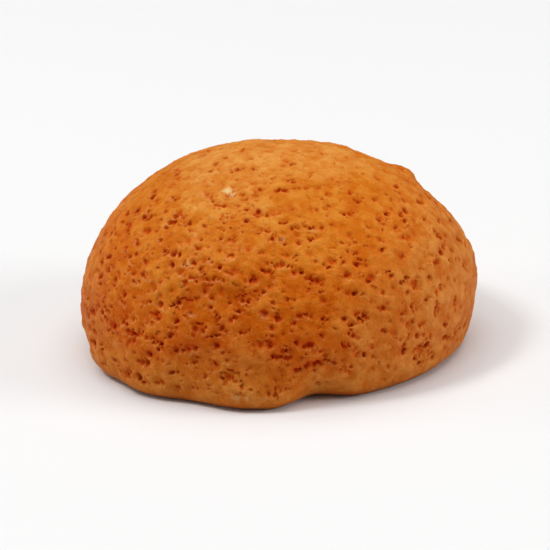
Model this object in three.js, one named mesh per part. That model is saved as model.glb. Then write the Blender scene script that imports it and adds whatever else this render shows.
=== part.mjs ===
// A mocha bread: one round sweet bun under a thin, baked coffee crust.
// Millimetres, +Z up. The bun stands on its flat underside at z = 0, with its origin under the middle
// of its bounding box. Azimuth is measured round +Z: 0 faces -Y, the front, and 90 faces +X, the right.
import * as THREE from "three";
import { ConvexGeometry } from "three/addons/geometries/ConvexGeometry.js";
import { mergeVertices } from "three/addons/utils/BufferGeometryUtils.js";

// The plain dome: two half ellipsoids that meet at the widest level, cut flat at the foot.
const halfWidth = 54;
const halfDepth = 52.5;
const widestLevel = 14.6;
const domeRise = 40;
const lowerRise = 45;
const rimRadius = 3.5;

// Where the dough rose or sank: each row pushes the skin at a spot, fading out over its reach.
const swells = [
  { name: "frontLobe", azimuth: -10, height: 2, reach: 20, push: [0, -3.4, 0] },
  { name: "frontDent", azimuth: 10, height: 1, reach: 13, push: [0, 3, 0.8] },
  { name: "leftFoot", azimuth: -42, height: 2, reach: 20, push: [-1.7, -2.4, 0] },
  { name: "lobeSide", azimuth: 2, height: 1, reach: 9, push: [0, -1.5, 0] },
  { name: "leftToe", azimuth: -62, height: 4, reach: 12, push: [-1.9, -1.1, 0] },
  { name: "leftFlank", azimuth: -93, height: 30, reach: 28, push: [1.2, 0, -0.4] },
  { name: "leftShoulder", azimuth: -105, height: 45, reach: 12, push: [0.5, 0, -0.5] },
  { name: "capPad", azimuth: -21, height: 38, reach: 22, push: [-0.3, -0.8, 0.7] },
  { name: "browPad", azimuth: 30, height: 33, reach: 20, push: [0.3, -0.6, 0.4] },
  { name: "rightCheek", azimuth: 89, height: 22, reach: 20, push: [1.1, 0, 0.2] },
  { name: "rightFoot", azimuth: 59, height: 1, reach: 8, push: [-0.2, -0.1, 0.1] },
  { name: "crownDip", azimuth: 159, height: 53, reach: 18, push: [0, 0, -0.8] },
  { name: "saddle", azimuth: 116, height: 47, reach: 10, push: [-0.3, 0, -1.3] },
  { name: "shoulder", azimuth: 108, height: 43, reach: 8, push: [0.8, 0, 1] },
  { name: "crease", azimuth: 100, height: 38.5, reach: 8, push: [-1.3, 0, -0.7] },
  { name: "backLobe", azimuth: 165, height: 4, reach: 22, push: [0.4, 1.6, 0] },
  { name: "backDent", azimuth: 205, height: 2, reach: 14, push: [0.5, -1.8, 0.4] },
  { name: "backPad", azimuth: 225, height: 34, reach: 22, push: [-0.5, 0.6, 0.3] },
];

// Shallow valleys pressed along a line between two spots, each an azimuth and a height.
const valleys = [
  { name: "skirtLeft", from: [-62, 10.5], to: [-22, 13], reach: 5, depth: 0.4 },
  { name: "skirtLobe", from: [-22, 13], to: [-7, 10.8], reach: 5, depth: 0.6 },
  { name: "skirtMiddle", from: [-7, 10.8], to: [12, 12.2], reach: 5, depth: 0.5 },
  { name: "skirtRight", from: [12, 12.2], to: [70, 7.5], reach: 4.5, depth: 0.4 },
  { name: "skirtBack", from: [110, 8], to: [240, 10], reach: 5, depth: 0.5 },
  { name: "ledgeLow", from: [-34, 26.3], to: [-13, 28.2], reach: 4.5, depth: 0.6 },
  { name: "ledgeMiddle", from: [-13, 28.2], to: [-4, 30.5], reach: 4.5, depth: 0.6 },
  { name: "ledgeHigh", from: [-4, 30.5], to: [0, 36], reach: 4, depth: 0.4 },
  { name: "ledgeBack", from: [150, 30], to: [190, 26], reach: 5, depth: 0.5 },
];
const valleySteps = 24;

// Splits in the crust: narrow grooves along a line between two spots. The depth share is of the
// half width, and so is the wander, how far a split strays from its line.
const splits = [
  { name: "frontSplit", from: [-3, 15.6], to: [7.5, 13.8], halfWidth: 0.5 },
  { name: "lowerSplit", from: [6.4, 11.7], to: [11.5, 11], halfWidth: 0.75 },
  { name: "lobeSplit", from: [-22.5, 13.9], to: [-8.8, 10.6], halfWidth: 0.45 },
  { name: "capSplit", from: [-29.5, 27.7], to: [-23.5, 27.8], halfWidth: 0.4 },
  { name: "ledgeSplit", from: [-12, 29], to: [-5, 30.7], halfWidth: 0.35 },
  { name: "riseSplit", from: [-2.2, 32.6], to: [-0.3, 35.8], halfWidth: 0.5 },
  { name: "leftSplit", from: [-22.5, 22.6], to: [-16, 23.9], halfWidth: 0.4 },
  { name: "middleSplit", from: [17.3, 16.4], to: [21.5, 15], halfWidth: 0.6 },
  { name: "rightSplit", from: [51.4, 23.3], to: [48.1, 17.4], halfWidth: 0.5 },
  { name: "edgeSplit", from: [60, 19.3], to: [58.8, 15.2], halfWidth: 0.65 },
  { name: "cheekSplit", from: [38.1, 15.4], to: [35.4, 11.6], halfWidth: 0.45 },
  { name: "footSplit", from: [-1.4, 6.6], to: [-0.6, 4.2], halfWidth: 0.35 },
  { name: "backSplit", from: [172, 14], to: [183, 12.4], halfWidth: 0.55 },
  { name: "farSplit", from: [222, 16], to: [228, 13], halfWidth: 0.5 },
];
const splitDepthShare = 1.5;
const splitWander = 0.9;
const splitPoints = 25;
const splitSeed = 77;

// The largest single pits: azimuth, height and radius.
const largePits = [
  [-16.3, 41.8, 0.84],
  [-18.2, 38.6, 0.91],
  [-28.5, 35.6, 0.91],
  [-18.8, 35.1, 0.84],
  [-26.5, 42.9, 0.76],
  [-9.8, 48.9, 0.91],
  [-3.3, 43, 0.91],
  [2.8, 42, 0.76],
  [7.8, 43.1, 0.76],
  [13.8, 42.7, 0.84],
  [16.4, 41.1, 0.84],
  [23, 39.1, 0.99],
  [27, 30.3, 0.84],
  [38.7, 28.5, 0.91],
  [43.3, 27.5, 1.06],
  [31.7, 23.1, 0.91],
  [25.6, 14.2, 0.91],
  [-4, 25.6, 1.29],
  [-26, 25.3, 1.06],
  [-43.3, 20.8, 0.91],
  [-52.4, 17, 0.91],
  [-24.4, 19.5, 0.99],
  [-35.8, 11.3, 0.76],
  [8.2, 30.5, 0.84],
  [12.5, 29.6, 0.84],
  [3.9, 20.9, 0.84],
  [13.6, 24.8, 0.84],
  [45.8, 22, 0.84],
];

// The small pits all over the crust: spread evenly by the golden angle, then moved about and
// varied in size by seeded draws. They are thickest on the front's upper left, and thin out away
// from there. The wanders are in steps down the dome and in radians round it.
const pitCount = 3800;
const pitSeed = 2024;
const levelWander = 9;
const turnWander = 0.09;
const pitRadiusMin = 0.36;
const pitRadiusSpread = 0.86;
const fewLarge = 1.9;
const crownShrink = 0.2;
const crownShrinkPower = 4;
const pitDepthShare = 0.7;
const pitDepthMin = 0.35;
const pitDepthSpread = 1;
const lowestPit = 4.5;
const thickestAt = [-28, 35];
const thickReach = 75;
const thinShare = 0.42;

// Some pits have more in a row at their side: the share that go on, the step in radii, how far the
// row rises or falls, how each is smaller than the one before, and what keeps a row off the pole.
const chainShare = 0.3;
const chainStep = 1.3;
const chainRise = 0.02;
const chainTaper = 0.85;
const poleKeep = 1.01;

// The pits that are cut in the solid: how many, and how near they lie in shares of their radii.
const solidPits = 660;
const pitClearance = 0.9;

// How finely the solid is faceted.
const smallPitSides = 4;
const largePitSides = 6;
const largePitRadius = 1.04;
const splitCorners = 7;
const skinPoints = 3000;
const skinGap = 1.45;
const rimPoints = 96;
const rimRows = 3;
const rimDrop = 0.001;
const leastGap = 0.42;
const undersideRings = [0.8, 0.5];
const undersidePoints = 36;
const weldGap = 1e-7;

const crustColour = 0xbf6a22;
const crustRoughness = 0.68;

const goldenAngle = Math.PI * (3 - Math.sqrt(5));
const degrees = Math.PI / 180;
const fullTurn = 2 * Math.PI;

// A seeded random draw from 0 to 1.
function seededDraw(seed) {
  const multiplier = 16807;
  const modulus = 2147483647;
  let state = seed;
  return () => {
    state = (state * multiplier) % modulus;
    return state / modulus;
  };
}

// The plain dome's point at a height, in the direction of an azimuth.
function spotOnDome(azimuth, height) {
  const rise = height > widestLevel ? domeRise : lowerRise;
  const level = THREE.MathUtils.clamp((height - widestLevel) / rise, -1, 1);
  const spread = Math.sqrt(1 - level * level);
  const turn = azimuth * degrees;
  const x = halfWidth * spread * Math.sin(turn);
  const y = -halfDepth * spread * Math.cos(turn);
  return new THREE.Vector3(x, y, height);
}

// A unit direction, from its turn round +Z and its level between -1 and 1.
function directionAt(turn, level) {
  const spread = Math.sqrt(Math.max(0, 1 - level * level));
  return new THREE.Vector3(spread * Math.sin(turn), -spread * Math.cos(turn), level);
}

// The dome is a unit sphere stretched: these carry a direction to the dome and back.
function domePoint(direction) {
  const rise = direction.z > 0 ? domeRise : lowerRise;
  const height = widestLevel + rise * direction.z;
  return new THREE.Vector3(halfWidth * direction.x, halfDepth * direction.y, height);
}

function domeDirection(point) {
  const rise = point.z > widestLevel ? domeRise : lowerRise;
  const level = (point.z - widestLevel) / rise;
  return new THREE.Vector3(point.x / halfWidth, point.y / halfDepth, level).normalize();
}

function domeNormal(point) {
  const rise = point.z > widestLevel ? domeRise : lowerRise;
  const nx = point.x / halfWidth ** 2;
  const ny = point.y / halfDepth ** 2;
  return new THREE.Vector3(nx, ny, (point.z - widestLevel) / rise ** 2).normalize();
}

// The foot: the wall turns in by a quarter circle and ends in the flat underside.
function footed(point) {
  const height = Math.max(point.z, 0);
  const turnIn = THREE.MathUtils.clamp(1 - height / rimRadius, 0, 1);
  const inset = rimRadius * (1 - Math.sqrt(1 - turnIn * turnIn));
  const footSpread = Math.sqrt(1 - (widestLevel / lowerRise) ** 2);
  const across = Math.hypot(point.x, point.y);
  const wallScale = 1 - inset / Math.max(across, rimRadius);
  const underScale = 1 - rimRadius / (halfWidth * footSpread);
  const scale = point.z < 0 ? underScale : wallScale;
  return new THREE.Vector3(point.x * scale, point.y * scale, height);
}

// Falls smoothly from 1 at a spot to 0 at its reach.
function smoothFade(distance, reach) {
  const nearness = Math.max(0, 1 - distance / reach);
  return nearness * nearness * (3 - 2 * nearness);
}

// Points along a line drawn on the dome from one spot to another.
function lineOnDome(from, to, steps) {
  return Array.from({ length: steps }, (_, i) => {
    const along = i / (steps - 1);
    const azimuth = THREE.MathUtils.lerp(from[0], to[0], along);
    return spotOnDome(azimuth, THREE.MathUtils.lerp(from[1], to[1], along));
  });
}

// Every pit of the crust as a spot, a radius and a depth, the large ones first.
function crustPits() {
  const draw = seededDraw(pitSeed);
  const pits = [];
  const addPit = (spot, radius) => {
    const share = pitDepthShare * (pitDepthMin + pitDepthSpread * draw());
    pits.push({ spot, radius, depth: radius * share });
  };
  for (const [azimuth, height, radius] of largePits) addPit(spotOnDome(azimuth, height), radius);
  const thickest = spotOnDome(...thickestAt);
  const lowestLevel = (lowestPit - widestLevel) / lowerRise;
  const spacing = (1 - lowestLevel) / pitCount;
  for (let i = 0; i < pitCount; i += 1) {
    const down = i + 0.5 + levelWander * (draw() - 0.5);
    let level = THREE.MathUtils.clamp(1 - spacing * down, lowestLevel, 1);
    let turn = i * goldenAngle + turnWander * (draw() - 0.5);
    let radius = pitRadiusMin + pitRadiusSpread * draw() ** fewLarge;
    radius *= 1 - crownShrink * Math.max(0, level) ** crownShrinkPower;
    const spot = domePoint(directionAt(turn, level));
    const thickness = smoothFade(spot.distanceTo(thickest), thickReach);
    if (draw() > THREE.MathUtils.lerp(thinShare, 1, thickness)) continue;
    addPit(spot, radius);
    while (draw() < chainShare) {
      turn += (chainStep * radius) / (halfWidth * Math.sqrt(poleKeep - level * level));
      level += chainRise * (draw() - 0.5);
      level = THREE.MathUtils.clamp(level, lowestLevel, 1);
      radius = Math.max(pitRadiusMin, chainTaper * radius);
      addPit(domePoint(directionAt(turn, level)), radius);
    }
  }
  return pits;
}

const valleyLines = valleys.map((valley) => ({
  ...valley,
  points: lineOnDome(valley.from, valley.to, valleySteps),
}));

// A split wanders off its line, by a fresh draw at each of its corners.
function splitCourses() {
  const draw = seededDraw(splitSeed);
  return splits.map(({ from, to, halfWidth: across }) => {
    const corners = lineOnDome(from, to, splitCorners);
    const along = corners[splitCorners - 1].clone().sub(corners[0]).normalize();
    for (const corner of corners) {
      const sideways = domeNormal(corner).cross(along).normalize();
      corner.addScaledVector(sideways, across * splitWander * (2 * draw() - 1));
    }
    const points = new THREE.CatmullRomCurve3(corners).getPoints(splitPoints - 1);
    return { corners, points, across };
  });
}

const splitLines = splitCourses();

// The distance from a point to the nearest of a line's points.
function distanceToLine(point, points) {
  return Math.min(...points.map((step) => step.distanceTo(point)));
}

// The pits cut in the solid: the largest, leaving out any that would run into a larger one.
function separatePits(pits) {
  const bySize = [...pits].sort((a, b) => b.radius - a.radius);
  const kept = [];
  for (const pit of bySize) {
    const meets = (other) => {
      const apart = other.spot.distanceTo(pit.spot);
      return apart < pitClearance * (other.radius + pit.radius);
    };
    const onSplit = (split) => {
      return distanceToLine(pit.spot, split.points) < pit.radius + split.across;
    };
    if (!kept.some(meets) && !splitLines.some(onSplit)) kept.push(pit);
  }
  return kept.slice(0, solidPits);
}

// How deep the skin is pressed in at a point of the plain dome.
function pressDepth(point, pits) {
  let depth = 0;
  for (const { points, reach, depth: deepest } of valleyLines) {
    depth += deepest * smoothFade(distanceToLine(point, points), reach);
  }
  let pitted = 0;
  for (const { points, across } of splitLines) {
    const share = distanceToLine(point, points) / across;
    const deepest = across * splitDepthShare;
    if (share < 1) pitted = Math.max(pitted, deepest * Math.sqrt(1 - share * share));
  }
  for (const { spot, radius, depth: deepest } of pits) {
    const share = spot.distanceTo(point) / radius;
    if (share < 1) pitted = Math.max(pitted, deepest * Math.sqrt(1 - share * share));
  }
  return depth + pitted;
}

// The finished skin over a direction: dome, foot, swells, then valleys and pits.
function skinPoint(direction, pits) {
  const plain = domePoint(direction);
  const point = footed(plain);
  for (const { azimuth, height, reach, push } of swells) {
    const fade = smoothFade(spotOnDome(azimuth, height).distanceTo(point), reach);
    point.addScaledVector(new THREE.Vector3(...push), fade);
  }
  const pressed = plain.z > 0 ? pressDepth(plain, pits) : 0;
  point.addScaledVector(domeNormal(plain), -pressed);
  point.z = Math.max(point.z, 0);
  return point;
}

// Directions for the solid's corners. The foot has rows round its quarter circle, the lowest a
// hair below the floor so that it lies in the underside. Each split has a row along its middle and
// one along each lip, each pit its middle and a ring round its lip, and an even scatter fills the
// rest. None comes closer to an earlier one than the least gap.
function layOutDirections(pits) {
  const kept = [];
  const place = (plain, gap) => {
    if (kept.some((other) => other.distanceTo(plain) < gap)) return;
    kept.push(domePoint(domeDirection(plain)));
  };
  for (let row = 0; row <= rimRows; row += 1) {
    const height = rimRadius * (1 - Math.cos((row / rimRows) * (Math.PI / 2)));
    for (let i = 0; i < rimPoints; i += 1) {
      const turn = ((i + row / 2) * fullTurn) / rimPoints;
      place(spotOnDome(turn / degrees, height - rimDrop), 0);
    }
  }
  for (const { corners, across } of splitLines) {
    const along = corners[splitCorners - 1].clone().sub(corners[0]).normalize();
    for (const corner of corners) {
      const sideways = domeNormal(corner).cross(along).normalize();
      place(corner, leastGap);
      place(corner.clone().addScaledVector(sideways, across), leastGap);
      place(corner.clone().addScaledVector(sideways, -across), leastGap);
    }
  }
  for (const { spot } of pits) place(spot, leastGap);
  for (const { spot, radius } of pits) {
    const level = new THREE.Vector3(0, 0, 1).cross(domeNormal(spot)).normalize();
    const up = domeNormal(spot).cross(level);
    const sides = radius < largePitRadius ? smallPitSides : largePitSides;
    for (let side = 0; side < sides; side += 1) {
      const turn = (side * fullTurn) / sides;
      const lip = spot.clone().addScaledVector(level, radius * Math.cos(turn));
      place(lip.addScaledVector(up, radius * Math.sin(turn)), leastGap);
    }
  }
  const lowestLevel = (rimRadius - widestLevel) / lowerRise;
  for (let i = 0; i < skinPoints; i += 1) {
    const level = 1 - ((1 - lowestLevel) * (i + 0.5)) / skinPoints;
    place(domePoint(directionAt(i * goldenAngle, level)), skinGap);
  }
  for (const spread of undersideRings) {
    for (let i = 0; i < undersidePoints; i += 1) {
      const turn = (i * fullTurn) / undersidePoints;
      place(domePoint(directionAt(turn, -Math.sqrt(1 - spread * spread))), 0);
    }
  }
  const middle = new THREE.Vector3(0, 0, -1);
  return [...kept.map(domeDirection), middle];
}

// The facets are the convex hull of the directions on a unit sphere, carried onto the skin.
function bunGeometry() {
  const pits = separatePits(crustPits());
  const hull = new ConvexGeometry(layOutDirections(pits));
  hull.deleteAttribute("normal");
  const geometry = mergeVertices(hull, weldGap);
  const corners = geometry.getAttribute("position");
  const direction = new THREE.Vector3();
  for (let i = 0; i < corners.count; i += 1) {
    direction.fromBufferAttribute(corners, i);
    corners.setXYZ(i, ...skinPoint(direction, pits));
  }
  geometry.computeBoundingBox();
  const middle = geometry.boundingBox.getCenter(new THREE.Vector3());
  geometry.translate(-middle.x, -middle.y, 0);
  geometry.computeVertexNormals();
  return geometry;
}

const crust = new THREE.MeshStandardMaterial({
  name: "coffee_crust",
  color: crustColour,
  roughness: crustRoughness,
  metalness: 0,
});

const bun = new THREE.Mesh(bunGeometry(), crust);
bun.name = "bun";

const mochaBread = new THREE.Group();
mochaBread.name = "mocha_bread";
mochaBread.add(bun);

export default mochaBread;
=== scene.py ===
import math

import bpy
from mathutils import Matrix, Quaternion, Vector, kdtree, noise


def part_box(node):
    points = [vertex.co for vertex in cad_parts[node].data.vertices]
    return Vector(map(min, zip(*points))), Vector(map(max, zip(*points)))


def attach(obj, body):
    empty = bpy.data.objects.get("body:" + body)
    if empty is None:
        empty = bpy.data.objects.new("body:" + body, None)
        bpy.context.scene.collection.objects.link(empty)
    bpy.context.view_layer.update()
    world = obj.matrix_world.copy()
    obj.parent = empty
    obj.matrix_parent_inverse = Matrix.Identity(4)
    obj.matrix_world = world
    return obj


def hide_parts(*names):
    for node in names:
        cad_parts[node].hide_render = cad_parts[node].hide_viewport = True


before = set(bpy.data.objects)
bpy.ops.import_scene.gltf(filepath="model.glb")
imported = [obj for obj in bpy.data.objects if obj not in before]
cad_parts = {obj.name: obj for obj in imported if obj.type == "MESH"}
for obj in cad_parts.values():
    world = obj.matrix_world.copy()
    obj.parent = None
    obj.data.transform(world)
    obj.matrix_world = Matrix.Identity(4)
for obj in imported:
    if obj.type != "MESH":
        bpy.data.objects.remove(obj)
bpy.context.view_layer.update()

mm = 0.001
goldenAngle = math.pi * (3 - math.sqrt(5))


# Small helpers

def clearSelection():
    if bpy.context.object and bpy.context.object.mode != "OBJECT":
        bpy.ops.object.mode_set(mode="OBJECT")
    bpy.ops.object.select_all(action="DESELECT")


def makeActive(piece):
    clearSelection()
    piece.select_set(True)
    bpy.context.view_layer.objects.active = piece


def editPoints(piece, chosen):
    # edit mode, with only the chosen points selected
    makeActive(piece)
    mesh = piece.data
    flags = [False] * len(mesh.vertices)
    for index in chosen:
        flags[index] = True
    mesh.edges.foreach_set("select", [False] * len(mesh.edges))
    mesh.polygons.foreach_set("select", [False] * len(mesh.polygons))
    mesh.vertices.foreach_set("select", flags)
    bpy.ops.object.mode_set(mode="EDIT")
    bpy.ops.mesh.select_mode(type="VERT")


def editAll(piece):
    makeActive(piece)
    bpy.ops.object.mode_set(mode="EDIT")
    bpy.ops.mesh.select_all(action="SELECT")


def leaveEdit():
    bpy.ops.object.mode_set(mode="OBJECT")


def pointTree(places):
    tree = kdtree.KDTree(len(places))
    for index, place in enumerate(places):
        tree.insert(place, index)
    tree.balance()
    return tree


def pointPlaces(piece):
    return [point.co.copy() for point in piece.data.vertices]


def pointsBelow(piece, height):
    return [point.index for point in piece.data.vertices if point.co.z < height * mm]


def storeNumbers(piece, name, numbers):
    # one number for each point, which the material reads by its name
    values = [0.0] * len(piece.data.vertices)
    for index, number in numbers.items():
        values[index] = number
    piece.data.attributes.new(name, "FLOAT", "POINT").data.foreach_set("value", values)


def applyModifiers(piece):
    makeActive(piece)
    for name in [modifier.name for modifier in piece.modifiers]:
        bpy.ops.object.modifier_apply(modifier=name)


def smoothFade(distance, reach):
    nearness = max(0, 1 - distance / reach)
    return nearness * nearness * (3 - 2 * nearness)


def mixNumbers(low, high, share):
    return low + (high - low) * share


# The bun's plain dome, in millimetres

dome = {
    "halfWidth": 54,
    "halfDepth": 52.5,
    "widestLevel": 14.6,
    "domeRise": 40,
    "lowerRise": 45,
    "rimRadius": 3.5,
    "fineness": 7,  # rounds of facets on the ball that it starts from
}


footShape = {
    "cutSlack": 0.101,  # points this near above the cut are brought down to it
    "joinWithin": 0.2,
    "finerBelow": 0.4,  # the wall that gets finer rows, in shares of rimRadius
    "flatBelow": 0.01,  # lower points are the underside's
    "radiusShare": 0.94,  # the foot's radius, in shares of halfWidth
    "turnIns": ((2.1, 3.5), (1.4, 0.8)),  # how far the edge moves in, and the reach up the wall
    "rings": (0.8, 0.65, 0.5),  # each ring of the underside, in shares of the one round it
}


def spotAround(turn, spread, height):
    across = dome["halfWidth"] * spread * math.sin(turn)
    deep = -dome["halfDepth"] * spread * math.cos(turn)
    return Vector((across, deep, height)) * mm


def spotOnDome(azimuth, height):
    # azimuth 0 faces -Y and 90 faces +X
    rise = dome["domeRise"] if height > dome["widestLevel"] else dome["lowerRise"]
    level = max(-1, min(1, (height - dome["widestLevel"]) / rise))
    return spotAround(math.radians(azimuth), math.sqrt(1 - level * level), height)


def spotAtLevel(turn, level):
    # level is -1 to 0 below the widest level and 0 to 1 above it
    rise = dome["domeRise"] if level > 0 else dome["lowerRise"]
    spread = math.sqrt(max(0, 1 - level * level))
    return spotAround(turn, spread, dome["widestLevel"] + rise * level)


def lineOnDome(start, end, steps):
    line = []
    for step in range(steps):
        share = step / (steps - 1)
        azimuth = mixNumbers(start[0], end[0], share)
        line.append(spotOnDome(azimuth, mixNumbers(start[1], end[1], share)))
    return line


def domeNormal(spot):
    rise = dome["domeRise"] if spot.z > dome["widestLevel"] * mm else dome["lowerRise"]
    slope = (spot.z / mm - dome["widestLevel"]) / rise**2
    normal = Vector((spot.x / mm / dome["halfWidth"] ** 2, spot.y / mm / dome["halfDepth"] ** 2, slope))
    return normal.normalized()


def makeBall():
    bpy.ops.mesh.primitive_ico_sphere_add(subdivisions=dome["fineness"], radius=1)
    ball = bpy.context.object
    ball.name = "pittedBun"
    return ball


def stretchToDome(piece):
    editAll(piece)
    bpy.ops.transform.resize(
        value=(dome["halfWidth"] * mm, dome["halfDepth"] * mm, 1), center_override=(0, 0, 0))
    leaveEdit()
    upper = [point.index for point in piece.data.vertices if point.co.z > 0]
    lower = [point.index for point in piece.data.vertices if point.co.z < 0]
    for half, rise in ((upper, dome["domeRise"]), (lower, dome["lowerRise"])):
        editPoints(piece, half)
        bpy.ops.transform.resize(value=(1, 1, rise * mm), center_override=(0, 0, 0))
        leaveEdit()
    editAll(piece)
    bpy.ops.transform.translate(value=(0, 0, dome["widestLevel"] * mm))
    leaveEdit()


def cutFoot(piece):
    editAll(piece)
    bpy.ops.mesh.bisect(plane_co=(0, 0, 0), plane_no=(0, 0, 1), clear_inner=True)
    leaveEdit()
    # the cut keeps points that lie very near it, so its edge is made level
    editPoints(piece, pointsBelow(piece, footShape["cutSlack"]))
    bpy.ops.transform.resize(value=(1, 1, 0), center_override=(0, 0, 0))
    bpy.ops.mesh.remove_doubles(threshold=footShape["joinWithin"] * mm)
    leaveEdit()
    # finer rows where the wall turns in
    editPoints(piece, pointsBelow(piece, footShape["finerBelow"] * dome["rimRadius"]))
    bpy.ops.mesh.select_mode(type="EDGE")
    bpy.ops.mesh.subdivide(number_cuts=1)
    leaveEdit()


def keepPlainPlaces(piece):
    # each point remembers where it lay on the plain dome
    places = [0.0] * (3 * len(piece.data.vertices))
    piece.data.vertices.foreach_get("co", places)
    piece.data.attributes.new("plainPlace", "FLOAT_VECTOR", "POINT").data.foreach_set("vector", places)


def plainPlaces(piece):
    places = [0.0] * (3 * len(piece.data.vertices))
    piece.data.attributes["plainPlace"].data.foreach_get("vector", places)
    return [Vector(places[start:start + 3]) for start in range(0, len(places), 3)]


def turnInFoot(piece):
    # the foot's edge shrinks and draws the wall's lowest rows in with it
    edge = pointsBelow(piece, footShape["flatBelow"])
    for amount, reach in footShape["turnIns"]:
        scale = 1 - amount / (dome["halfWidth"] * footShape["radiusShare"])
        editPoints(piece, edge)
        bpy.ops.transform.resize(
            value=(scale, scale, 1), center_override=(0, 0, 0), use_proportional_edit=True,
            proportional_edit_falloff="SHARP", proportional_size=reach * mm)
        leaveEdit()


def closeUnderside(piece):
    # the open edge is filled ring by ring, down to one middle point
    editPoints(piece, [])
    bpy.ops.mesh.select_mode(type="EDGE")
    bpy.ops.mesh.select_non_manifold(extend=False, use_wire=False, use_multi_face=False, use_verts=False)
    for share in footShape["rings"]:
        bpy.ops.mesh.extrude_region_move()
        bpy.ops.transform.resize(value=(share, share, 1), center_override=(0, 0, 0))
    bpy.ops.mesh.merge(type="COLLAPSE")
    leaveEdit()


# Where the dough rose or sank: azimuth, height, reach and push in millimetres

swells = {
    "frontLobe": (-10, 2, 20, (0, -3.4, 0)),
    "frontDent": (10, 1, 13, (0, 3, 0.8)),
    "leftFoot": (-42, 2, 20, (-1.7, -2.4, 0)),
    "lobeSide": (2, 1, 9, (0, -1.5, 0)),
    "leftToe": (-62, 4, 12, (-1.9, -1.1, 0)),
    "leftFlank": (-93, 30, 28, (1.2, 0, -0.4)),
    "leftShoulder": (-105, 45, 12, (0.5, 0, -0.5)),
    "capPad": (-21, 38, 22, (-0.3, -0.8, 0.7)),
    "browPad": (30, 33, 20, (0.3, -0.6, 0.4)),
    "rightCheek": (89, 22, 20, (1.1, 0, 0.2)),
    "rightFoot": (59, 1, 8, (-0.2, -0.1, 0.1)),
    "crownDip": (159, 53, 18, (0, 0, -0.8)),
    "saddle": (116, 47, 10, (-0.3, 0, -1.3)),
    "shoulder": (108, 43, 8, (0.8, 0, 1)),
    "crease": (100, 38.5, 8, (-1.3, 0, -0.7)),
    "backLobe": (165, 4, 22, (0.4, 1.6, 0)),
    "backDent": (205, 2, 14, (0.5, -1.8, 0.4)),
    "backPad": (225, 34, 22, (-0.5, 0.6, 0.3)),
}

# Shallow valleys: azimuth and height at each end, reach and depth

valleys = {
    "skirtLeft": ((-62, 10.5), (-22, 13), 5, 0.4),
    "skirtLobe": ((-22, 13), (-7, 10.8), 5, 0.6),
    "skirtMiddle": ((-7, 10.8), (12, 12.2), 5, 0.5),
    "skirtRight": ((12, 12.2), (70, 7.5), 4.5, 0.4),
    "skirtBack": ((110, 8), (240, 10), 5, 0.5),
    "ledgeLow": ((-34, 26.3), (-13, 28.2), 4.5, 0.6),
    "ledgeMiddle": ((-13, 28.2), (-4, 30.5), 4.5, 0.6),
    "ledgeHigh": ((-4, 30.5), (0, 36), 4, 0.4),
    "ledgeBack": ((150, 30), (190, 26), 5, 0.5),
}
valleySteps = 24


def swellDough(piece):
    tree = pointTree(plainPlaces(piece))
    for azimuth, height, reach, push in swells.values():
        editPoints(piece, [tree.find(spotOnDome(azimuth, height))[1]])
        bpy.ops.transform.translate(
            value=Vector(push) * mm, use_proportional_edit=True,
            proportional_edit_falloff="SMOOTH", proportional_size=reach * mm)
        leaveEdit()


def pressValleys(piece):
    tree = pointTree(plainPlaces(piece))
    for start, end, reach, depth in valleys.values():
        editPoints(piece, [tree.find(spot)[1] for spot in lineOnDome(start, end, valleySteps)])
        bpy.ops.transform.shrink_fatten(
            value=-depth * mm, use_proportional_edit=True,
            proportional_edit_falloff="SMOOTH", proportional_size=reach * mm)
        leaveEdit()


# Splits in the crust: azimuth and height at each end, half width

splits = {
    "frontSplit": ((-3, 15.6), (7.5, 13.8), 0.5),
    "lowerSplit": ((6.4, 11.7), (11.5, 11), 0.75),
    "lobeSplit": ((-22.5, 13.9), (-8.8, 10.6), 0.45),
    "capSplit": ((-29.5, 27.7), (-23.5, 27.8), 0.4),
    "ledgeSplit": ((-12, 29), (-5, 30.7), 0.35),
    "riseSplit": ((-2.2, 32.6), (-0.3, 35.8), 0.5),
    "leftSplit": ((-22.5, 22.6), (-16, 23.9), 0.4),
    "middleSplit": ((17.3, 16.4), (21.5, 15), 0.6),
    "rightSplit": ((51.4, 23.3), (48.1, 17.4), 0.5),
    "edgeSplit": ((60, 19.3), (58.8, 15.2), 0.65),
    "cheekSplit": ((38.1, 15.4), (35.4, 11.6), 0.45),
    "footSplit": ((-1.4, 6.6), (-0.6, 4.2), 0.35),
    "backSplit": ((172, 14), (183, 12.4), 0.55),
    "farSplit": ((222, 16), (228, 13), 0.5),
}
splitShape = {
    "corners": 7,
    "wander": 0.9,
    "seed": 77,
    "depthShare": 1.5,
    "points": 43,
    "gapSize": 1.3,  # millimetres between the closed stretches
    "openShare": 0.6,
    "gapContrast": 3,
}

# Pits: the largest by azimuth, height and radius, and how the small ones are scattered

largePits = [
    (-16.3, 41.8, 0.84), (-18.2, 38.6, 0.91), (-28.5, 35.6, 0.91), (-18.8, 35.1, 0.84),
    (-26.5, 42.9, 0.76), (-9.8, 48.9, 0.91), (-3.3, 43, 0.91), (2.8, 42, 0.76),
    (7.8, 43.1, 0.76), (13.8, 42.7, 0.84), (16.4, 41.1, 0.84), (23, 39.1, 0.99),
    (27, 30.3, 0.84), (38.7, 28.5, 0.91), (43.3, 27.5, 1.06), (31.7, 23.1, 0.91),
    (25.6, 14.2, 0.91), (-4, 25.6, 1.29), (-26, 25.3, 1.06), (-43.3, 20.8, 0.91),
    (-52.4, 17, 0.91), (-24.4, 19.5, 0.99), (-35.8, 11.3, 0.76), (8.2, 30.5, 0.84),
    (12.5, 29.6, 0.84), (3.9, 20.9, 0.84), (13.6, 24.8, 0.84), (45.8, 22, 0.84),
]

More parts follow.
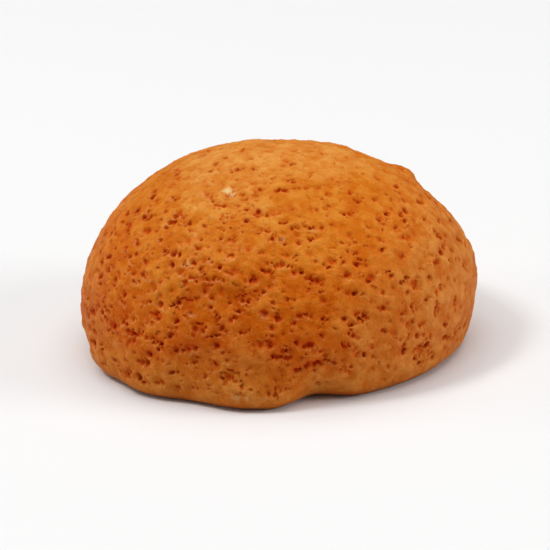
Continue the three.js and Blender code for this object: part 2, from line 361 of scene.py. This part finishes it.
smallPits = {
    "count": 3800,
    "seed": 2024,
    "radiusMin": 0.36,
    "radiusSpread": 0.86,
    "fewLarge": 1.9,
    "depthShare": 0.7,
    "depthMin": 0.35,
    "depthSpread": 1.0,
    "levelWander": 9,  # in steps of the spiral that the pits start from
    "turnWander": 0.09,
    "crownShrink": 0.2,  # how much smaller the pits are at the very top
    "crownPower": 4,
    "chainShare": 0.3,  # of pits that have another beside them
    "chainStep": 1.3,  # from one to the next, in radii
    "chainRise": 0.02,
    "chainTaper": 0.85,
    "poleKeep": 1.01,  # a little over 1, so that a step is never endless at the top
    "lowest": 4.5,
    "thickestAt": (-28, 35),
    "thickReach": 75,
    "thinShare": 0.42,
}


class SeededDraw:
    # the same row of draws each run, from 0 to 1
    def __init__(self, seed):
        self.state = seed

    def __call__(self):
        self.state = (self.state * 16807) % 2147483647
        return self.state / 2147483647


def splitCourses():
    draw = SeededDraw(splitShape["seed"])
    courses = []
    for start, end, across in splits.values():
        corners = lineOnDome(start, end, splitShape["corners"])
        along = (corners[-1] - corners[0]).normalized()
        for corner in corners:
            sideways = domeNormal(corner).cross(along).normalized()
            corner += sideways * across * splitShape["wander"] * (2 * draw() - 1) * mm
        course = []
        for step in range(splitShape["points"]):
            place = step / (splitShape["points"] - 1) * (len(corners) - 1)
            near = min(int(place), len(corners) - 2)
            course.append(corners[near].lerp(corners[near + 1], place - near))
        courses.append((course, across * mm))
    return courses


def crustPits():
    draw = SeededDraw(smallPits["seed"])
    pits = []

    def addPit(spot, radius):
        share = smallPits["depthShare"] * (smallPits["depthMin"] + smallPits["depthSpread"] * draw())
        pits.append((spot, radius * mm, radius * share * mm))

    for azimuth, height, radius in largePits:
        addPit(spotOnDome(azimuth, height), radius)
    thickest = spotOnDome(*smallPits["thickestAt"])
    lowestLevel = (smallPits["lowest"] - dome["widestLevel"]) / dome["lowerRise"]
    spacing = (1 - lowestLevel) / smallPits["count"]
    for step in range(smallPits["count"]):
        wander = smallPits["levelWander"] * (draw() - 0.5)
        level = max(lowestLevel, min(1, 1 - spacing * (step + 0.5 + wander)))
        turn = step * goldenAngle + smallPits["turnWander"] * (draw() - 0.5)
        crownShrink = 1 - smallPits["crownShrink"] * max(0, level) ** smallPits["crownPower"]
        radius = smallPits["radiusMin"] + smallPits["radiusSpread"] * draw() ** smallPits["fewLarge"]
        radius *= crownShrink
        spot = spotAtLevel(turn, level)
        thickness = smoothFade((spot - thickest).length, smallPits["thickReach"] * mm)
        if draw() > mixNumbers(smallPits["thinShare"], 1, thickness):
            continue
        addPit(spot, radius)
        while draw() < smallPits["chainShare"]:
            wayRound = dome["halfWidth"] * math.sqrt(smallPits["poleKeep"] - level * level)
            turn += smallPits["chainStep"] * radius / wayRound
            rise = smallPits["chainRise"] * (draw() - 0.5)
            level = max(lowestLevel, min(1, level + rise))
            radius = max(smallPits["radiusMin"], smallPits["chainTaper"] * radius)
            addPit(spotAtLevel(turn, level), radius)
    return pits


# A pit isn't round: burst bubbles run into each other in it

bursts = {
    "seed": 311,
    "most": 3,
    "aside": (0.0, 0.8),  # how far from the pit's middle, in its radii
    "radius": (0.5, 0.9),
    "depth": (0.5, 1.2),
    "sideways": 1.7,  # bubbles spread more along the wall than up it
    "upward": 0.7,
}


def burstPits(pits):
    draw = SeededDraw(bursts["seed"])
    bubbles = []
    for spot, radius, depth in pits:
        outward = domeNormal(spot)
        along = Vector((0, 0, 1)).cross(outward).normalized()
        upward = outward.cross(along)
        for step in range(1 + int(bursts["most"] * draw())):
            turn = 2 * math.pi * draw()
            aside = mixNumbers(*bursts["aside"], draw()) * radius
            offset = along * math.cos(turn) * bursts["sideways"]
            offset += upward * math.sin(turn) * bursts["upward"]
            bubbles.append((
                spot + offset * aside,
                mixNumbers(*bursts["radius"], draw()) * radius,
                mixNumbers(*bursts["depth"], draw()) * depth))
    return bubbles


# Cutting the pits

cutting = {
    "openMargin": 1.0,  # millimetres past a pit's lip that get finer facets
    "coarseMargin": 0.4,
    "fineMargin": 0.1,
    "holeShare": 0.88,  # of a pit's depth
    "dentReach": 2.6,  # the soft dent round a pit, in radii
    "dentShare": 0.6,
    "lipGrain": (1.3, 0.5),  # millimetres between the nicks in a lip
    "lipStray": (0.42, 0.2),  # and how far they reach
    "lipAt": 1.35,  # the raised lip's middle and half width, in radii
    "lipWidth": 0.45,
    "lipRise": 0.12,  # in shares of fullShade
    "lipHighlightStart": 0.3,  # painted highlight of a lip level with its pit's middle; lips lower down get more
    "bowl": 1.3,
    "deepest": 1.8,  # millimetres at a full weight
    "fullShade": 0.55,  # depth in millimetres of the darkest painted shade in a pit
    "haloReach": 2.7,  # painted warm shade round a pit, in radii
    "trianglesKept": 190000,
}


def pointsNear(places, pits, courses, margin):
    tree = pointTree(places)
    near = set()
    for spot, radius, depth in pits:
        near.update(index for co, index, apart in tree.find_range(spot, radius + margin * mm))
    for course, across in courses:
        for spot in course:
            near.update(index for co, index, apart in tree.find_range(spot, across + margin * mm))
    return near


def splitFacets(piece, chosen):
    editPoints(piece, chosen)
    bpy.ops.mesh.subdivide(number_cuts=1, ngon=False)
    leaveEdit()


def refineAt(piece, pits, courses):
    for margin in (cutting["openMargin"], cutting["coarseMargin"], cutting["fineMargin"]):
        splitFacets(piece, pointsNear(plainPlaces(piece), pits, courses, margin))


def keepLarger(amounts, index, amount):
    amounts[index] = max(amounts.get(index, 0), amount)


def nickedPlaces(places):
    # gives a point's place with the lips' nicks added, worked out once for each point
    known = {}

    def nicked(index):
        if index not in known:
            place = places[index].copy()
            for grain, stray in zip(cutting["lipGrain"], cutting["lipStray"]):
                place += noise.noise_vector(places[index] / (grain * mm)) * stray * mm
            known[index] = place
        return known[index]

    return nicked


def holeDepth(share, depth):
    return depth * (1 - share * share) ** cutting["bowl"]


def weighPits(tree, places, pits, nicked, marks):
    for spot, radius, depth in pits:
        darkness = min(1, depth / cutting["fullShade"] / mm)
        for co, index, apart in tree.find_range(spot, radius * cutting["dentReach"]):
            share = (nicked(index) - spot).length / radius
            if share < 1:
                keepLarger(marks["hole"], index, holeDepth(share, depth))
            dent = depth * cutting["dentShare"] * smoothFade(apart, radius * cutting["dentReach"])
            keepLarger(marks["dent"], index, dent)
            keepLarger(marks["shadeHalo"], index, smoothFade(share, cutting["haloReach"]) * darkness)
            lip = smoothFade(abs(share - cutting["lipAt"]), cutting["lipWidth"]) * darkness
            keepLarger(marks["lip"], index, lip)
            # painted highlight: lips below a pit face up to the lamps, so they are made paler
            below = (spot - places[index]).z / (radius * cutting["lipAt"])
            paleness = min(1, max(0, cutting["lipHighlightStart"] + below))
            keepLarger(marks["paleLipHighlight"], index, lip * paleness)


def weighSplits(tree, courses, nicked, marks):
    for course, across in courses:
        for spot in course:
            wander = noise.noise(spot / (splitShape["gapSize"] * mm))
            gap = min(1, max(0, splitShape["openShare"] + splitShape["gapContrast"] * wander))
            for co, index, apart in tree.find_range(spot, across * cutting["haloReach"]):
                share = (nicked(index) - spot).length / across
                if share < 1:
                    depth = across * splitShape["depthShare"] * gap
                    keepLarger(marks["hole"], index, holeDepth(share, depth))
                keepLarger(marks["shadeHalo"], index, gap * smoothFade(share, cutting["haloReach"]))


def storePressing(piece, holes, dents, lips):
    group = piece.vertex_groups.new(name="pressed")
    for index in set(holes) | set(dents):
        pressed = holes.get(index, 0) * cutting["holeShare"] + dents.get(index, 0)
        pressed -= lips.get(index, 0) * cutting["lipRise"] * cutting["fullShade"] * mm
        group.add([index], min(1, max(0, pressed / (cutting["deepest"] * mm))), "REPLACE")


def weighCrust(piece, pits, courses):
    # how deep each point is pressed, and its painted shade and lip highlights, read on the plain dome
    places = plainPlaces(piece)
    tree = pointTree(places)
    nicked = nickedPlaces(places)
    marks = {name: {} for name in ("hole", "dent", "shadeHalo", "lip", "paleLipHighlight")}
    weighPits(tree, places, pits, nicked, marks)
    weighSplits(tree, courses, nicked, marks)
    holes = marks["hole"]
    lips, paleLipHighlights = [
        {index: amount for index, amount in marks[name].items() if index not in holes}
        for name in ("lip", "paleLipHighlight")]
    storePressing(piece, holes, marks["dent"], lips)
    storeNumbers(piece, "pitShade", {
        index: min(1, depth / (cutting["fullShade"] * mm)) for index, depth in holes.items()})
    storeNumbers(piece, "pitShadeHalo", marks["shadeHalo"])
    storeNumbers(piece, "pitLipHighlight", paleLipHighlights)


# Pale flecks and scuffs where dough shows through: azimuth, height, radius and paleness

flecks = [
    (-25.4, 49.4, 1.1, 0.9), (-22.4, 49.1, 0.8, 0.7), (-28.1, 35.3, 0.7, 0.35),
    (-40.5, 30.5, 0.7, 0.25), (2.7, 41.1, 0.6, 0.3), (14.3, 42.2, 0.6, 0.25),
    (-11.8, 4.7, 0.7, 0.3), (-9.2, 4.2, 0.7, 0.3), (-5.6, 3.9, 0.6, 0.2),
    (-4.0, 24.7, 0.6, 0.25), (-24.0, 24.3, 0.6, 0.25),
]
fleckShape = {
    "grain": 0.5,  # millimetres between the nicks in a fleck's edge
    "stray": 1.1,
    "reach": 2,  # in radii
    "fadeReach": 1.2,
    "fullness": 2,  # how soon it is at its palest
}


def markFlecks(piece):
    places = plainPlaces(piece)
    tree = pointTree(places)
    pale = {}
    for azimuth, height, radius, paleness in flecks:
        spot = spotOnDome(azimuth, height)
        for co, index, apart in tree.find_range(spot, fleckShape["reach"] * radius * mm):
            stray = noise.noise(places[index] / (fleckShape["grain"] * mm)) * fleckShape["stray"]
            share = apart / (radius * mm) * (1 + stray)
            fade = fleckShape["fullness"] * smoothFade(share, fleckShape["fadeReach"])
            keepLarger(pale, index, paleness * min(1, fade))
    storeNumbers(piece, "pale", pale)


ripples = {"broad": (8, 0.6), "middle": (3.0, 0.95), "fine": (1.2, 0.28)}  # size and height, mm
rippleStart = {"above": 0.5, "growth": 4}  # millimetres up the wall, and to their full height
reliefSpan = 0.16  # millimetres up or down that give the palest painted highlight and the reddest painted shade


def addRipple(piece, name):
    size, height = ripples[name]
    clouds = bpy.data.textures.new(name + "Ripple", "CLOUDS")
    clouds.noise_scale = size * mm
    clouds.noise_depth = 1
    ripple = piece.modifiers.new(name + "Ripple", "DISPLACE")
    ripple.texture = clouds
    ripple.texture_coords = "LOCAL"
    ripple.direction = "NORMAL"
    ripple.strength = height * mm
    ripple.mid_level = 0.5
    ripple.vertex_group = "walls"


def rippleCrust(piece):
    walls = piece.vertex_groups.new(name="walls")
    for point in piece.data.vertices:
        above = max(0, point.co.z / mm - rippleStart["above"])
        walls.add([point.index], min(1, above / rippleStart["growth"]), "REPLACE")
    addRipple(piece, "broad")
    applyModifiers(piece)
    before = pointPlaces(piece)
    addRipple(piece, "middle")
    addRipple(piece, "fine")
    applyModifiers(piece)
    storeNumbers(piece, "relief", {
        point.index: (point.co - before[point.index]).dot(point.normal) / (reliefSpan * mm)
        for point in piece.data.vertices})


def pressPits(piece):
    press = piece.modifiers.new("pressPits", "DISPLACE")
    press.direction = "NORMAL"
    press.strength = -cutting["deepest"] * mm
    press.mid_level = 0
    press.vertex_group = "pressed"
    applyModifiers(piece)


def thinFacets(piece):
    # fewer facets where the crust is smooth
    facets = sum(len(face.vertices) - 2 for face in piece.data.polygons)
    print("facets before thinning:", facets)
    thin = piece.modifiers.new("thin", "DECIMATE")
    thin.ratio = min(1, cutting["trianglesKept"] / facets)
    applyModifiers(piece)


def setOnBox(piece):
    # the finished bun fills the solid's own box
    low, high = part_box("bun")
    corners = pointPlaces(piece)
    lowest = Vector([min(co[axis] for co in corners) for axis in range(3)])
    highest = Vector([max(co[axis] for co in corners) for axis in range(3)])
    middle = (lowest + highest) / 2
    target = (Vector(low) + Vector(high)) / 2
    scale = [(high[axis] - low[axis]) / (highest[axis] - lowest[axis]) for axis in range(3)]
    print("fit to box: scale", [round(value, 5) for value in scale])
    editAll(piece)
    bpy.ops.transform.translate(value=target - middle)
    bpy.ops.transform.resize(value=scale, center_override=target)
    bpy.ops.mesh.quads_convert_to_tris()
    bpy.ops.mesh.normals_make_consistent(inside=False)
    leaveEdit()


def shadeBun(piece):
    # smooth, but for the underside, so that its edge shows
    makeActive(piece)
    bpy.ops.object.shade_smooth()
    editPoints(piece, pointsBelow(piece, footShape["flatBelow"]))
    bpy.ops.mesh.select_mode(type="FACE")
    bpy.ops.mesh.faces_shade_flat()
    leaveEdit()


def makeBun():
    bun = makeBall()
    stretchToDome(bun)
    cutFoot(bun)
    keepPlainPlaces(bun)
    print("dome cut:", len(bun.data.polygons), "faces")
    turnInFoot(bun)
    closeUnderside(bun)
    swellDough(bun)
    pressValleys(bun)
    print("dough swollen")
    pits = burstPits(crustPits())
    courses = splitCourses()
    refineAt(bun, pits, courses)
    print("pits laid out:", len(pits), "bubbles,", len(bun.data.polygons), "faces")
    weighCrust(bun, pits, courses)
    markFlecks(bun)
    rippleCrust(bun)
    pressPits(bun)
    thinFacets(bun)
    setOnBox(bun)
    shadeBun(bun)
    bun.vertex_groups.clear()
    print("bun shaped:", len(bun.data.polygons), "faces")
    return bun


# Materials

crustLook = {
    "crown": (0.745, 0.272, 0.033),
    "crest": (0.67, 0.197, 0.010),
    "brow": (0.65, 0.168, 0.006),
    "cheek": (0.59, 0.128, 0.002),
    "skirt": (0.55, 0.104, 0.001),
    "rim": (0.55, 0.155, 0.012),
    "underside": (0.36, 0.150, 0.045),
    "footShadeTint": (0.72, 0.55, 0.5),
    "hollowShadeTint": (0.85, 0.60, 0.25),
    "ridgeHighlightTint": (1.09, 1.30, 2.0),
    "ridgeHighlight": (0.78, 0.39, 0.13),
    # painted highlight on the pits' lower lips
    "lip": (0.84, 0.46, 0.17),
    "fleck": (0.88, 0.60, 0.27),
    "haloShadeTint": (0.92, 0.60, 0.24),
    "pitShadeTint": (0.95, 0.42, 0.08),
    "edgeSheen": (0.62, 0.215, 0.032),
    "edgeSheenSide": (40, 0, -18),  # the painted edge sheen is towards +X and low down
}
bakedLevels = [  # shares of the bun's height, and the crust there
    (0.0, "rim"), (0.12, "rim"), (0.3, "skirt"), (0.44, "cheek"),
    (0.68, "brow"), (0.86, "crest"), (1.0, "crown"),
]
patterns = {  # millimetres across, detail and roughness
    "broad": (26, 2, 0.5),
    "swath": (12, 2, 0.5),
    "patchy": (6, 4, 0.6),
    "mottle": (1.6, 3, 0.65),
    "grain": (0.5, 3, 0.7),
}
# A span turns its first two values into its last two. Heights and places in it are in metres.
spans = {
    "height": (0, 0.0545, 0, 1),
    "heightWander": (0.25, 0.75, -0.12, 0.12),
    "relief": (-1, 1, 0, 0.35),
    "swath": (0.35, 0.65, -0.09, 0.09),
    "patchy": (0.35, 0.65, 0, 0.3),
    "mottle": (0.35, 0.65, 0, 0.25),
    "grain": (0.35, 0.65, 0, 0.1),
    "lip": (0, 1, 0, 0.35),
    "ridgeHighlight": (0.4, 1.2, 0, 0.16),
    "paleLipHighlight": (0.45, 0.65, 0, 0.5),
    "edgeSheenWander": (0.3, 0.7, -0.5, 0.5),
    "edgeSheen": (0, 1.4, 0, 0.6),
    "edgeSheenAboveFoot": (0.003, 0.016, 0.3, 1),
    "edgeSheenFarLeft": (-0.042, -0.052, 0, 0.35),
    "shadeHalo": (0, 1, 0, 0.9),
    "pitShade": (0.1, 1.0, 0, 0.95),
    "foot": (0.0028, 0.0004, 0, 0.8),
    "underside": (0.0008, 0.0002, 0, 1),
    "undersidePatches": (0.35, 0.65, 0.6, 1),
    "roughness": (0.3, 0.7, 0.5, 0.68),
    "glaze": (0.5, 0.72, 0, 0.3),
    "glazeLeft": (0.012, -0.018, 0, 1),
}
crustFinish = {
    "specular": 0.04,
    "lipGlaze": 0.8,
    "glazeRoughness": 0.25,
    "sheen": 0.06,
    "sheenRoughness": 0.22,
    "sheenTint": (1.0, 0.75, 0.45),
    "bumpStrength": 1.0,
    "grainBump": 0.00025,  # metres
    "mottleBump": 0.0007,
}


def newMaterial(name):
    material = bpy.data.materials.new(name)
    material.use_nodes = True
    return material, material.node_tree


def plug(tree, value, socket):
    # a socket's value, or a link where the value is another node's output
    if isinstance(value, bpy.types.NodeSocket):
        tree.links.new(value, socket)
    elif isinstance(value, tuple):
        socket.default_value = (*value, 1)
    else:
        socket.default_value = value


def addNode(tree, kind, inputs, **settings):
    node = tree.nodes.new("ShaderNode" + kind)
    for name, value in settings.items():
        setattr(node, name, value)
    for name, value in inputs.items():
        plug(tree, value, node.inputs[name])
    return node


def rampNode(tree, share, stops):
    ramp = addNode(tree, "ValToRGB", {"Fac": share})
    elements = ramp.color_ramp.elements
    while len(elements) > 1:
        elements.remove(elements[-1])
    elements[0].position = stops[0][0]
    elements[0].color = (*stops[0][1], 1)
    for position, colour in stops[1:]:
        elements.new(position).color = (*colour, 1)
    return ramp.outputs["Color"]


def mixColours(tree, share, first, second, blend="MIX"):
    mix = addNode(tree, "Mix", {}, data_type="RGBA", blend_type=blend)
    plug(tree, share, mix.inputs["Factor"])
    plug(tree, first, mix.inputs[6])
    plug(tree, second, mix.inputs[7])
    return mix.outputs[2]


def spanNode(tree, source, name):
    low, high, toLow, toHigh = spans[name]
    return addNode(tree, "MapRange", {
        "Value": source, "From Min": low, "From Max": high,
        "To Min": toLow, "To Max": toHigh}).outputs["Result"]


def patternNode(tree, place, name):
    size, detail, roughness = patterns[name]
    return addNode(tree, "TexNoise", {
        "Vector": place, "Scale": 1000 / size, "Detail": detail, "Roughness": roughness}).outputs["Fac"]


def mathNode(tree, operation, first, second):
    node = addNode(tree, "Math", {}, operation=operation)
    plug(tree, first, node.inputs[0])
    plug(tree, second, node.inputs[1])
    return node.outputs["Value"]


def pointNumber(tree, name):
    return addNode(tree, "Attribute", {}, attribute_name=name).outputs["Fac"]


def bakedColour(tree, height, broad):
    # redder down the wall and paler towards the crown
    share = mathNode(tree, "ADD", height, spanNode(tree, broad, "heightWander"))
    return rampNode(tree, share, [(level, crustLook[name]) for level, name in bakedLevels])


def raisedCrust(tree, noises, lip):
    # from 0 in the hollows to about 1 on the ridges: painted shade and painted highlight that follow the
    # relief and the lips, mixed with random mottling
    raised = spanNode(tree, pointNumber(tree, "relief"), "relief")
    for name in ("swath", "patchy", "mottle", "grain"):
        raised = mathNode(tree, "ADD", raised, spanNode(tree, noises[name], name))
    return mathNode(tree, "ADD", raised, spanNode(tree, lip, "lip"))


def paintEdgeSheen(tree, place, across, level, broad):
    # painted edge sheen: how much paler the crust is made towards the right and at the far left,
    # standing in for grazing light there
    side = addNode(tree, "VectorMath", {}, operation="DOT_PRODUCT")
    plug(tree, place, side.inputs[0])
    side.inputs[1].default_value = crustLook["edgeSheenSide"]
    edgeSheen = mathNode(tree, "ADD", side.outputs["Value"], spanNode(tree, broad, "edgeSheenWander"))
    edgeSheen = spanNode(tree, edgeSheen, "edgeSheen")
    edgeSheen = mathNode(tree, "MULTIPLY", edgeSheen, spanNode(tree, level, "edgeSheenAboveFoot"))
    return mathNode(tree, "ADD", edgeSheen, spanNode(tree, across, "edgeSheenFarLeft"))


# painted shade in the hollows and painted highlight on the ridges, with random mottling
def tintRelief(tree, colour, raised, lip, grain):
    tint = mixColours(tree, raised, crustLook["hollowShadeTint"], crustLook["ridgeHighlightTint"])
    colour = mixColours(tree, 1.0, colour, tint, "MULTIPLY")
    colour = mixColours(tree, spanNode(tree, raised, "ridgeHighlight"), colour, crustLook["ridgeHighlight"])
    paleLipHighlight = mathNode(tree, "MULTIPLY", lip, spanNode(tree, grain, "paleLipHighlight"))
    return mixColours(tree, paleLipHighlight, colour, crustLook["lip"])


def tintPits(tree, colour):
    # painted shade: redder round the pits and splits, darker in them by depth; the pale flecks are the
    # crust's own
    shadeHalo = spanNode(tree, pointNumber(tree, "pitShadeHalo"), "shadeHalo")
    colour = mixColours(tree, shadeHalo, colour, crustLook["haloShadeTint"], "MULTIPLY")
    depth = spanNode(tree, pointNumber(tree, "pitShade"), "pitShade")
    colour = mixColours(tree, depth, colour, crustLook["pitShadeTint"], "MULTIPLY")
    return mixColours(tree, pointNumber(tree, "pale"), colour, crustLook["fleck"])


def tintFoot(tree, colour, level, patchy):
    # painted shade: a darker band in the lowest few millimetres, where the wall turns under, then the
    # plain underside
    foot = spanNode(tree, level, "foot")
    colour = mixColours(tree, foot, colour, crustLook["footShadeTint"], "MULTIPLY")
    underside = spanNode(tree, level, "underside")
    patches = spanNode(tree, patchy, "undersidePatches")
    underside = mathNode(tree, "MULTIPLY", underside, patches)
    return mixColours(tree, underside, colour, crustLook["underside"])


def glazeCrust(tree, shader, height, across, mottle, lip):
    # a faint shine on the left and high up, strongest on the pits' lips
    lipGlaze = mathNode(tree, "MULTIPLY", lip, crustFinish["lipGlaze"])
    glaze = mathNode(tree, "ADD", spanNode(tree, mottle, "glaze"), lipGlaze)
    glaze = mathNode(tree, "MULTIPLY", glaze, spanNode(tree, across, "glazeLeft"))
    glaze = mathNode(tree, "MULTIPLY", glaze, height)
    plug(tree, glaze, shader.inputs["Coat Weight"])
    shader.inputs["Coat Roughness"].default_value = crustFinish["glazeRoughness"]


def roughenCrust(tree, shader, grain, mottle):
    strength = crustFinish["bumpStrength"]
    fine = addNode(tree, "Bump", {
        "Strength": strength, "Distance": crustFinish["grainBump"], "Height": grain})
    bump = addNode(tree, "Bump", {
        "Strength": strength, "Distance": crustFinish["mottleBump"], "Height": mottle,
        "Normal": fine.outputs["Normal"]})
    plug(tree, bump.outputs["Normal"], shader.inputs["Normal"])


def coffeeCrust():
    material, tree = newMaterial("coffeeCrust")
    shader = tree.nodes["Principled BSDF"]
    place = addNode(tree, "TexCoord", {}).outputs["Object"]
    ways = addNode(tree, "SeparateXYZ", {"Vector": place})
    across = ways.outputs["X"]
    level = ways.outputs["Z"]
    noises = {name: patternNode(tree, place, name) for name in patterns}
    height = spanNode(tree, level, "height")
    lip = pointNumber(tree, "pitLipHighlight")

    colour = bakedColour(tree, height, noises["broad"])
    # painted edge sheen: paler crust at the right and far left edges
    edgeSheen = paintEdgeSheen(tree, place, across, level, noises["broad"])
    colour = mixColours(tree, edgeSheen, colour, crustLook["edgeSheen"])
    raised = raisedCrust(tree, noises, lip)
    colour = tintRelief(tree, colour, raised, lip, noises["grain"])
    colour = tintPits(tree, colour)
    colour = tintFoot(tree, colour, level, noises["patchy"])
    plug(tree, colour, shader.inputs["Base Color"])

    plug(tree, spanNode(tree, noises["patchy"], "roughness"), shader.inputs["Roughness"])
    shader.inputs["Specular IOR Level"].default_value = crustFinish["specular"]
    shader.inputs["Sheen Weight"].default_value = crustFinish["sheen"]
    shader.inputs["Sheen Roughness"].default_value = crustFinish["sheenRoughness"]
    plug(tree, crustFinish["sheenTint"], shader.inputs["Sheen Tint"])
    glazeCrust(tree, shader, height, across, noises["mottle"], lip)
    roughenCrust(tree, shader, noises["grain"], noises["mottle"])
    return material


def dressBun(bun):
    bun.data.materials.clear()
    bun.data.materials.append(coffeeCrust())
    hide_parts("bun")
    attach(bun, "root")


# Floor, lights and camera

stageLook = {
    "floorHalf": 8.0,  # metres, so that a low view doesn't show its far edge
    "floor": (0.82, 0.82, 0.82),
    "floorRoughness": 0.9,
    "world": 0.15,
    "aimHeight": 0.02,  # where the lamps point, above the origin
}


def makeFloor():
    bpy.ops.mesh.primitive_plane_add(size=2 * stageLook["floorHalf"], location=(0, 0, 0))
    floor = bpy.context.object
    floor.name = "paleFloor"
    material, tree = newMaterial("paleFloor")
    shader = tree.nodes["Principled BSDF"]
    plug(tree, stageLook["floor"], shader.inputs["Base Color"])
    shader.inputs["Roughness"].default_value = stageLook["floorRoughness"]
    shader.inputs["Specular IOR Level"].default_value = 0.0
    floor.data.materials.append(material)


lamps = {
    "key": {"place": (-1.9, -0.45, 2.8), "size": 0.75, "power": 40},
    "leftFill": {"place": (-3.4, 0.4, 0.9), "size": 1.5, "power": 24},
    "rightFill": {"place": (3.25, -0.7, 1.3), "size": 1.5, "power": 52},
}
skyLamp = {"strength": 1.75, "spread": 70, "lean": (-2, 2)}  # degrees of spread and lean


def makeLights():
    world = bpy.data.worlds.new("softRoom")
    world.use_nodes = True
    background = world.node_tree.nodes["Background"]
    background.inputs["Color"].default_value = (1, 1, 1, 1)
    background.inputs["Strength"].default_value = stageLook["world"]
    bpy.context.scene.world = world
    for name, lamp in lamps.items():
        bpy.ops.object.light_add(type="AREA", location=lamp["place"])
        light = bpy.context.object
        light.name = name
        light.data.shape = "SQUARE"
        light.data.size = lamp["size"]
        light.data.energy = lamp["power"]
        aim = Vector((0, 0, stageLook["aimHeight"])) - Vector(lamp["place"])
        light.rotation_euler = aim.to_track_quat("-Z", "Y").to_euler()
    bpy.ops.object.light_add(type="SUN", location=(0, 0, 1))
    sky = bpy.context.object
    sky.name = "overhead"
    sky.data.energy = skyLamp["strength"]
    sky.data.angle = math.radians(skyLamp["spread"])
    sky.rotation_euler = (math.radians(skyLamp["lean"][0]), math.radians(skyLamp["lean"][1]), 0)


photoCamera = {
    "lens": 120,
    "sensorWidth": 36,
    "nearest": 0.01,
    "distance": 0.5067,
    "elevation": 21,
    "roll": -2,
    "frameSize": 550,
    "originAt": (278.6, 337.5),  # where the bun's origin falls in the frame
}


def makeCamera():
    bpy.ops.object.camera_add()
    camera = bpy.context.object
    camera.name = "photoCamera"
    camera.data.lens = photoCamera["lens"]
    camera.data.sensor_width = photoCamera["sensorWidth"]
    camera.data.clip_start = photoCamera["nearest"]
    rise = math.radians(photoCamera["elevation"])
    ahead = Vector((0, math.cos(rise), -math.sin(rise)))
    above = Vector((0, math.sin(rise), math.cos(rise)))
    frameWidth = photoCamera["sensorWidth"] / photoCamera["lens"]
    perPixel = frameWidth / photoCamera["frameSize"] * photoCamera["distance"]
    right = (photoCamera["originAt"][0] - photoCamera["frameSize"] / 2) * perPixel
    down = (photoCamera["originAt"][1] - photoCamera["frameSize"] / 2) * perPixel
    camera.location = -ahead * photoCamera["distance"]
    target = above * down - Vector((right, 0, 0))
    aim = (target - camera.location).to_track_quat("-Z", "Y")
    roll = Quaternion((0, 0, 1), math.radians(photoCamera["roll"]))
    camera.rotation_euler = (aim @ roll).to_euler()
    bpy.context.scene.camera = camera
    bpy.context.scene.view_settings.view_transform = "Standard"


makeCamera()
bun = makeBun()
dressBun(bun)
makeFloor()
makeLights()
print("scene ready")
